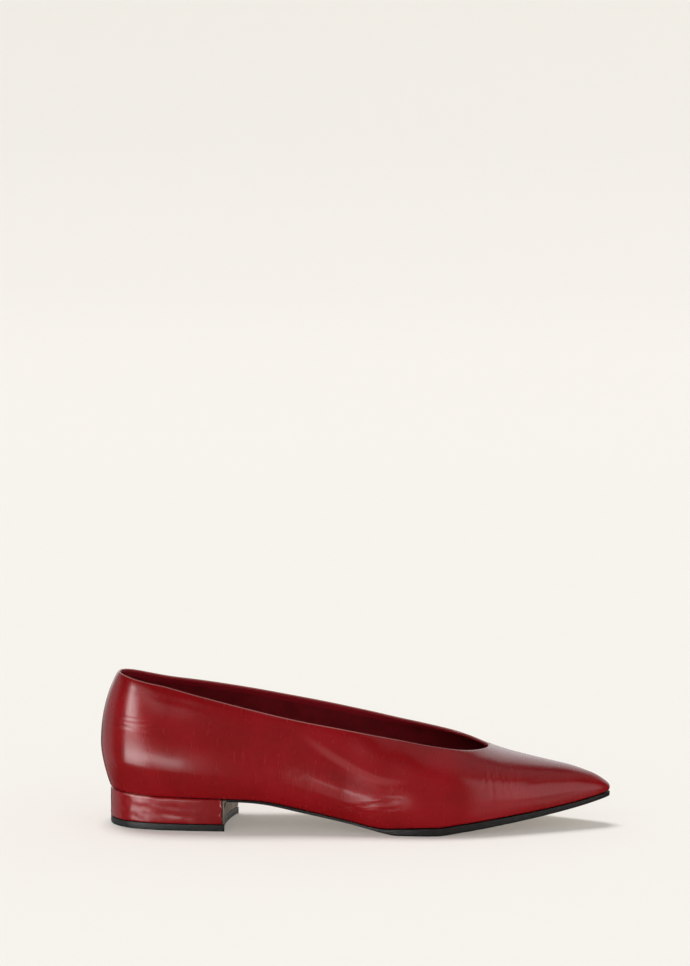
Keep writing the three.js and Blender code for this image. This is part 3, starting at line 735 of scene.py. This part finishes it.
def corner_inset(inset, ahead):
    """Where an outline moved in by inset meets the breast, moved forward by ahead, on each side."""
    ends = []
    for name, side, y in (("outer", -1, OUTER_Y), ("inner", 1, INNER_Y)):
        for _ in range(6):
            half = half_width[name](place_at(breast(y, ahead)))
            y = side * (float(half) - inset)
        ends.append((float(breast(y, ahead)), y))
    return ends


def seat_edge(inset, ahead, steps=64, across=30):
    """Outline of what lies under the heel seat: from the outer corner of the breast round the back to the
    inner corner, and along the breast to the start."""
    (outer_x, outer_y), (inner_x, inner_y) = corner_inset(inset, ahead)
    travel = np.linspace(0, 1, steps + 1)
    outer_turns, inner_turns = (turn_at(HEEL_BACK + (corner - HEEL_BACK) * (1 - np.cos(np.pi / 2 * travel[1:])))
                                for corner in (outer_x, inner_x))
    turns = np.concatenate([-outer_turns[::-1], [0], inner_turns])
    plan, out = wall_edge(turns, -inset)
    y = np.linspace(inner_y, outer_y, across + 2)
    arc = np.stack([breast(y, ahead), y], -1)
    ahead_way = np.tile([1.0, 0.0], (len(y), 1))
    share = np.concatenate([1 - np.cos(np.pi / 2 * np.r_[travel[:0:-1], travel]), np.ones(len(y))])
    spine_start, spine_end = HEEL_BACK + 20, BREAST_CORNER - 14
    spine = np.stack([spine_start + (spine_end - spine_start) * share, 0 * share - 1.0], -1)
    return np.concatenate([plan, arc]), np.concatenate([out, ahead_way]), spine


def sole_edge_line(steps=220, across=30):
    """Outline of the sole: from the tip along the outer side to the breast, along it, and back to the tip."""
    (outer_x, outer_y), (inner_x, inner_y) = corner_inset(WAIST_INSET, GAP)
    share = np.sin(np.pi / 2 * np.linspace(0, 1, steps + 1))
    outer, inner = (corner + (FEATHER_TIP - corner) * share for corner in (outer_x, inner_x))
    turns = np.concatenate([-turn_at(outer[::-1]), turn_at(inner)])
    plan, out = wall_edge(turns, ledge((1 - np.cos(turns)) / 2))
    y = np.linspace(outer_y, inner_y, across + 2)
    arc = np.stack([breast(y, GAP), y], -1)
    axis_start, axis_end = BREAST_CORNER + 18, FEATHER_TIP - TOE_RADIUS
    mean = axis_start + (axis_end - axis_start) * share
    axis = np.stack([mean, crown_side(place_at(mean))], -1)
    half = len(outer)
    plan = np.concatenate([plan[:half], arc, plan[half:]])
    out = np.concatenate([out[:half], np.tile([-1.0, 0.0], (len(y), 1)), out[half:]])
    spine = np.concatenate([axis[::-1], np.tile(axis[0], (len(y), 1)), axis])
    return plan, out, spine


bend = sole_leather("natural_sole_bend_inked_edge")
rubber = lift_rubber("black_moulded_rubber")
heel_calf = calf_leather("glazed_red_calf_on_the_heel", roughness=0.3)


def outsole():
    """The sole, with a bevelled lower edge, a burnished upper one and ink on its edge."""
    edge = sole_edge_line()
    thickness = edge_height(place_at(edge[0][:, 0]))
    bottom, top = (lambda at: sole_bottom(at[:, 0])), (lambda at: sole_top(at[:, 0]))
    shares = (0.0, 0.12, 0.3, 0.5, 0.68, 0.8, 0.87, 0.9, 0.915, 0.93, 0.945, 0.96, 0.975, 0.988)
    rows = flat_rows(shares, bottom)
    rows += rounded_rows(np.minimum(SOLE_BEVEL, thickness / 3), bottom, 6)
    rows += rounded_rows(np.minimum(SOLE_BURNISH, thickness / 4), top, 4, at_top=True)
    rows += flat_rows((0.95, 0.6, 0.3, 0.0), top)
    loops = slab(edge, rows)
    # the ink runs 0.9 mm in under the edge
    inward = (1 - np.array([row[1] for row in rows])[:, None]) * np.linalg.norm(edge[0] - edge[2], axis=-1)
    underneath = np.arange(len(rows))[:, None] < len(shares)
    inked = np.where(underneath, np.clip(1 - inward / 0.9, 0, 1), 1.0)
    piece = piece_from("sewn_sole", loops, band(*loops.shape[:2], ring_columns=True), bend, {"inked": inked})
    dress(piece, "sole_leather", "outsole")


def breast_flap():
    """The sole's end, skived thin and turned down the heel's breast, with a round bend under the waist."""
    (_, outer_y), (_, inner_y) = corner_inset(WAIST_INSET, GAP)
    y = np.linspace(outer_y, inner_y, 60)
    foot = 0 * y + LIFT + GAP
    soffit = sole_bottom(breast(y, GAP + FLAP))
    bend_foot = soffit - FLAP_BEND
    profile = [(0.05, soffit + 0.6), (0.0, foot), (FLAP * 0.3, foot), (FLAP, foot + 0.25)]
    profile += [(FLAP, foot + (bend_foot - foot) * share) for share in (0.25, 0.5, 0.75)]
    profile += [(FLAP + FLAP_BEND * (1 - math.cos(a)), soffit - FLAP_BEND * (1 - math.sin(a)))
                for a in np.linspace(0, math.pi / 2, 8)]
    profile += [(FLAP + FLAP_BEND, soffit + 0.6)]
    loops = np.stack([np.stack([breast(y, GAP + ahead), y, height], -1) for ahead, height in profile])
    ends = loops.mean(0)[[0, -1]][None] + 0 * loops[:, :2]
    loops = np.concatenate([ends[:, :1], loops, ends[:, 1:]], 1)
    at_side = np.zeros(loops.shape[:2])
    at_side[:, [0, 1, -2, -1]] = 0.4
    faces = band(*loops.shape[:2], ring_rows=True)[:, ::-1]
    piece = piece_from("breast_flap", loops, faces, bend, {"inked": at_side, "flap": 1 + 0 * at_side})
    dress(piece, "sole_leather", "outsole")


def insole_sock():
    """The insole with its sock, rounded where it meets the wall."""
    turns = loop_turns(150, 150, 60)
    c = columns(turns)
    above = WALL + GAP
    brink = offset_last(turns, climb_to(turns, c["low"] + above), WALL + 0.05)
    foot = lambda at: feather_height(at[:, 0]) + above
    sock = lambda at: foot(at) + INSOLE
    rows = flat_rows((0.0, 0.4, 0.8, 1.0), foot)
    rows += [(0.0, 1.0, lambda at: sock(at) - 0.8), (-0.15, 1.0, lambda at: sock(at) - 0.25)]
    rows += [(-0.6, share, sock) for share in (1.0, 0.97, 0.9, 0.8, 0.65, 0.5, 0.35, 0.2, 0.1, 0.0)]
    loops = slab((brink[:, :2], c["out"], c["spine"]), rows)
    piece = piece_from("insole_sock", loops, band(*loops.shape[:2]), lining,
                       {"below_topline": np.full(loops.shape[:2], 99.0)})
    dress(piece, "sock_leather", "insole")


def covered_heel():
    """The heel block in its cover of calf: rounded at its foot and rolled in under the seat, with small waves
    where the skin was drawn round it. Painted highlight pales the crests of the waves and its top edge, outside
    and towards the back."""
    edge = seat_edge(0.0, 0.0)
    foot, seat = level(LIFT + GAP), lambda at: sole_top(at[:, 0])
    low, high = LIFT + GAP + HEEL_FOOT_ROUND, lambda at: seat(at) - HEEL_SEAT_ROUND
    rows = flat_rows((0.0, 0.5, 0.95), foot) + rounded_rows(HEEL_FOOT_ROUND, foot, 5)
    rows += [(0.0, 1.0, lambda at, share=share: low + (high(at) - low) * share)
             for share in np.linspace(0, 1, 20)[1:-1]]
    rows += rounded_rows(HEEL_SEAT_ROUND, seat, 6, at_top=True) + flat_rows((0.95, 0.5, 0.0), seat)
    loops = slab(edge, rows)
    column_step = 0.9
    drawn = waves(11, np.arange(loops.shape[1])[None] * column_step, loops[..., 2], 3, 9) * 0.04
    on_wall = np.array([row[1] for row in rows])[:, None] == 1.0
    loops[..., :2] += edge[1] * (drawn * on_wall)[..., None]
    # painted highlight along the top edge, on the outer side about 20 mm from the back
    rim_highlight_zone = np.exp(-((loops[..., 0] - 20) / 9) ** 4) * (loops[..., 1] < 0)
    under_seat = sole_top(loops[..., 0]) - loops[..., 2]
    at_rim = rim_highlight_zone * np.clip(1.5 - np.abs(0.5 - under_seat) / 0.7, 0, 1)
    piece = piece_from("covered_heel", loops, band(*loops.shape[:2], ring_columns=True), heel_calf,
                       {"ridge": np.clip(drawn / 0.12, 0, 1), "at_rim": at_rim})
    dress(piece, "heel_cover", "heel")


def rubber_lift():
    """The top lift on the floor; its front, which the last columns hold, carries the painted grey reflection.
    """
    foot, top = level(0.0), level(LIFT)
    rows = flat_rows((0.0, 0.3, 0.6, 0.9, 0.97), foot) + rounded_rows(LIFT_FOOT_ROUND, foot, 5)
    rows += rounded_rows(LIFT_TOP_ROUND, top, 4, at_top=True) + flat_rows((0.95, 0.5, 0.0), top)
    loops = slab(seat_edge(0.0, GAP + FLAP), rows)
    # the front columns, which take the painted floor reflection
    floor_sheen = np.zeros(loops.shape[:2])
    floor_sheen[5:13, -31:-1] = 1
    piece = piece_from("rubber_lift", loops, band(*loops.shape[:2], ring_columns=True), rubber, {"floor_sheen": floor_sheen})
    dress(piece, "lift_rubber", "top_lift")


outsole()
breast_flap()
insole_sock()
covered_heel()
rubber_lift()


def sweep():
    """Studio floor: flat for 3 m round the shoe, then a curve that rises 1.6 m over the next 2.5 m."""
    angle = np.linspace(0, 2 * np.pi, 97)[None, :-1]
    reach = np.array([0, 0.2, 0.5, 1, 2, 3, 3.5, 4, 4.5, 5, 5.5])[:, None]
    rise = np.where(reach > 3, ((reach - 3) / 2.5) ** 2 * 1.6, 0)
    points = np.stack([reach * np.cos(angle), reach * np.sin(angle), rise + 0 * angle], -1)
    faces = band(*points.shape[:2], ring_columns=True)[:, ::-1]
    mesh = bpy.data.meshes.new("studio_floor")
    mesh.from_pydata(points.reshape(-1, 3).tolist(), [], faces.tolist())
    floor = object_of("studio_floor", mesh)
    material, tree, place = start_material("pale_studio_floor")
    grain = add(tree, "TexNoise", {"Vector": place, "Scale": 1 / 3, "Detail": 2.0})
    up = add(tree, "MapRange", add(tree, "SeparateXYZ", place, out=2), 0.0, 700.0, 0.0, 1.0)
    paper = add(tree, "Mix", {0: up, 6: linear("f0ede7"), 7: linear("fbf8f1")}, **BLEND)
    finish_material(tree, paper, 0.9, grain, 0.01, Specular_IOR_Level=0.0)
    mesh.materials.append(material)
    floor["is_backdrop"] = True
    floor.visible_glossy = False
    return floor


floor = sweep()


# The studio as the leather mirrors it: soft rectangles from left to right in degrees round from the camera's
# side and from low to high in degrees up, with the softness of their edges in degrees and their brightness.
WINDOWS = (
    (-62, -42, 10, 40, 8, 9.0), (-60, -36, -9, 0, 6, 11.0), (-37, -13, -6.5, -1.5, 1.6, 7.0),  # by the heel
    (-42, -12, 34, 50, 7, 1.1), (15, 140, 52, 88, 8, 0.35),  # above
    (36, 70, -6, 44, 6, 1.05), (36, 70, -32, -6, 4, 0.4),  # by the toe
    (118, 181, -5, 44, 6, 1.0), (-181, -150, -5, 44, 6, 1.0), (-152, -100, -22, 24, 8, 0.4),  # behind
    (-181, 181, -91, -3, 3, 0.75))  # the floor


def studio_air():
    """The world: an even light, strongest at the horizon, and its mirror image in the leather, drawn apart.
    Each window there is the product of a rise and a fall across it and of a rise and a fall up it."""
    sine = lambda up: math.sin(math.radians(up))
    world = bpy.data.worlds.new("studio_air")
    bpy.context.scene.world = world
    world.use_nodes = True
    world.cycles.sampling_method = "NONE"  # the light and its mirror image differ, so it isn't sampled ahead
    tree = world.node_tree
    tree.nodes.clear()
    sky = add(tree, "TexCoord", out="Generated")
    east, north, rise = (add(tree, "SeparateXYZ", sky, out=axis) for axis in range(3))
    towards_camera = add(tree, "Math", north, -1.0, operation="MULTIPLY")
    way_round = add(tree, "Math", east, towards_camera, operation="ARCTAN2")
    mirrored = 0.01
    for left, right, low, high, soft, brightness in WINDOWS:
        window = brightness
        for value, start, end, measure in ((way_round, left, right, math.radians), (rise, low, high, sine)):
            opens, closes = (
                add(tree, "MapRange", value, measure(edge - soft), measure(edge + soft), *levels, **STEP)
                for edge, levels in ((start, (0.0, 1.0)), (end, (1.0, 0.0))))
            between = add(tree, "Math", opens, closes, operation="MULTIPLY")
            window = add(tree, "Math", between, window, operation="MULTIPLY")
        mirrored = add(tree, "Math", mirrored, window, operation="ADD")
    even = add(tree, "MapRange", rise, 0.0, 1.0, 0.62, 0.22)
    glossy, camera = (add(tree, "LightPath", out=f"Is {ray} Ray") for ray in ("Glossy", "Camera"))
    strength = add(tree, "Mix", glossy, {2: even, 3: mirrored}, data_type="FLOAT")
    seen = add(tree, "Mix", camera, {2: strength, 3: 1.0}, data_type="FLOAT")
    add(tree, "OutputWorld", {"Surface": add(tree, "Background", (1.0, 1.0, 1.0, 1.0), seen)})


studio_air()


def sun(name, travel, energy, spread, lights, shaded_by=None):
    """A far soft lamp that lights only some pieces, and is shaded only by some where they are named."""
    lamp = bpy.data.lights.new(name, "SUN")
    lamp.energy, lamp.angle = energy, math.radians(spread)
    light = bpy.data.objects.new(name, lamp)
    light.rotation_mode = "QUATERNION"
    light.rotation_quaternion = Vector(travel).to_track_quat("-Z", "Y")
    light.visible_glossy = False
    bpy.context.scene.collection.objects.link(light)
    light.light_linking.receiver_collection = lights
    if shaded_by is not None:
        light.light_linking.blocker_collection = shaded_by


def group(name, members):
    """A collection of objects that a lamp lights or is shaded by."""
    gathered = bpy.data.collections.new(name)
    for member in members:
        gathered.objects.link(member)
    return gathered


# Two lamps for the floor, one behind and to the left that draws the shadow and one from above that nothing
# shades, and a fill on the shoe from the camera's side.
the_floor, the_shoe = group("floor_alone", [floor]), group("shoe_alone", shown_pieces())
sun("shadow_lamp", (0.12, -0.2, -0.7), 1.6, 26, the_floor)
sun("floor_fill", (0, 0, -1), 0.63, 5, the_floor, the_floor)
sun("shoe_fill", (0.15, 1.0, -0.3), 1.35, 60, the_shoe)


def camera_on(centre, across, down, azimuth, ray_drop, distance):
    """A camera that shows a point at a share of the picture's height right of and below its middle: it stands a
    distance off, turned from the outer side to the toe by azimuth, and sees the point under an angle of
    ray_drop down, both in degrees."""
    turn, pitch = math.radians(azimuth), math.radians(ray_drop) - math.atan(down / FOCAL_SHARE)
    forward = Vector((-math.sin(turn) * math.cos(pitch), math.cos(turn) * math.cos(pitch), -math.sin(pitch)))
    right = forward.cross(Vector((0, 0, 1))).normalized()
    upward = right.cross(forward)
    sight = forward + right * (across / FOCAL_SHARE) - upward * (down / FOCAL_SHARE)
    lens = bpy.data.cameras.new("camera")
    lens.sensor_width, lens.sensor_fit = 36.0, "AUTO"
    lens.lens = FOCAL_SHARE * lens.sensor_width
    lens.clip_start, lens.clip_end = 0.1, 50
    camera = bpy.data.objects.new("camera", lens)
    bpy.context.scene.collection.objects.link(camera)
    axes = Matrix((right, upward, -forward)).transposed().to_4x4()
    camera.matrix_world = Matrix.Translation(centre - sight.normalized() * distance) @ axes
    bpy.context.scene.camera = camera


# The camera stands 2 m off on the shoe's outer side, a little above it and 2 degrees round to the toe's
# side, and frames the shoe low in a tall picture.
FRAME_HEIGHT, FRAME_WIDTH = 966, 690
FOCAL_SHARE = 3904.1 / FRAME_HEIGHT  # the focal length as a share of the picture's height
camera_on(Vector((0, 0.00057, 0.035)), (355.16 - FRAME_WIDTH / 2) / FRAME_HEIGHT,
          (754.11 - FRAME_HEIGHT / 2) / FRAME_HEIGHT, azimuth=2.0, ray_drop=10.3, distance=2.0)
bpy.context.scene.view_settings.view_transform = "Standard"
